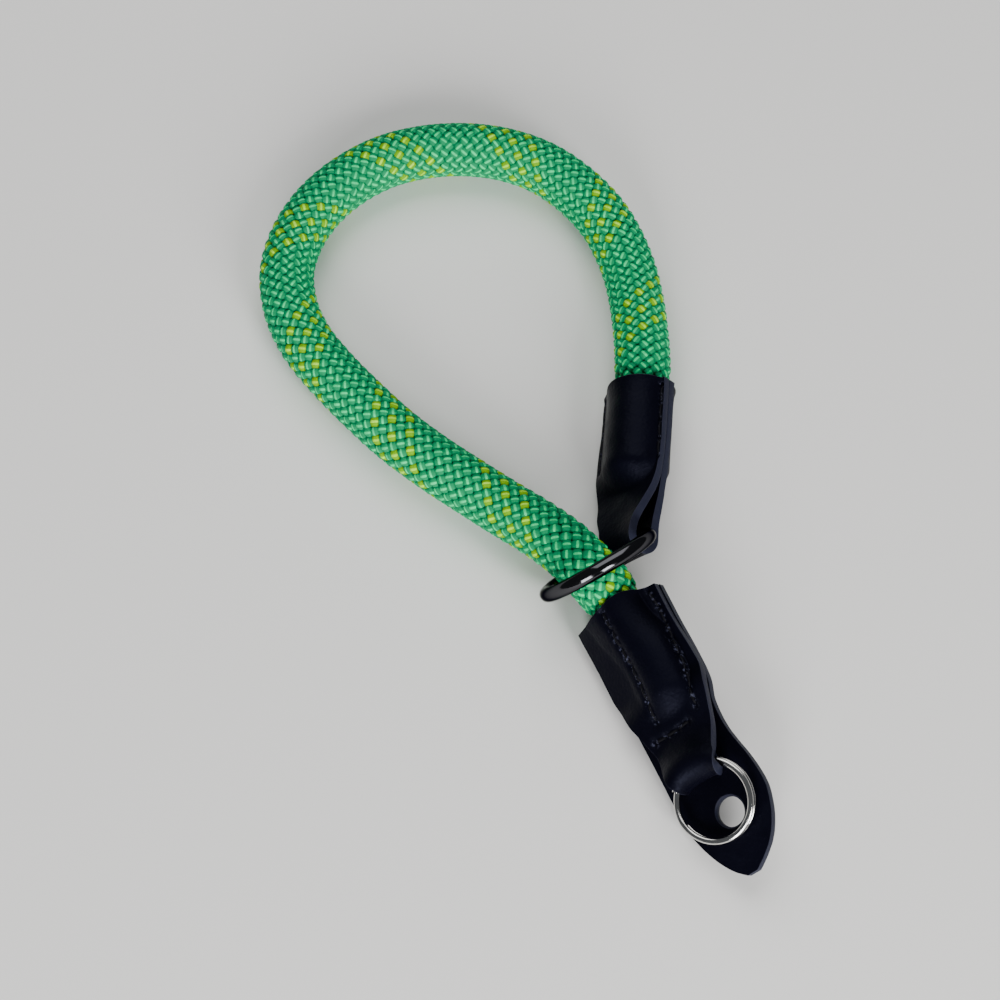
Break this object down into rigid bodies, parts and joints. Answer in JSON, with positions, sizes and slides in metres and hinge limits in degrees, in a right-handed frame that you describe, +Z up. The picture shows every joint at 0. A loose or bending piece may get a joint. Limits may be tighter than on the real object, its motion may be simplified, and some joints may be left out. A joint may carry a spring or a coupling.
{
  "type": "camera wrist strap",
  "caption": "braided rope loop with leather ends, one on a plain ring that slides on the rope, the other on a split ring over a pointed leather guard",
  "frame": {"origin": "on the surface the strap lies on, under the middle of the box round the leather and metal pieces", "axes": "+Y runs from the camera's end towards the rope loop, along the leather and metal pieces' longest extent, +Z is up from the surface the strap lies on"},
  "size_m": [0.0948, 0.1592, 0.0219],
  "materials": {
    "rope": "green braid with yellow tracers",
    "leather": "smooth black, satin",
    "gunmetal": "polished black nickel",
    "nickel": "polished"
  },
  "bodies": {
    "root": {"rope": "rope", "slider_sleeve": "leather", "camera_sleeve": "leather", "guard_flap": "leather", "slider_ring": "gunmetal", "split_ring": "nickel"}
  },
  "joints": []
}
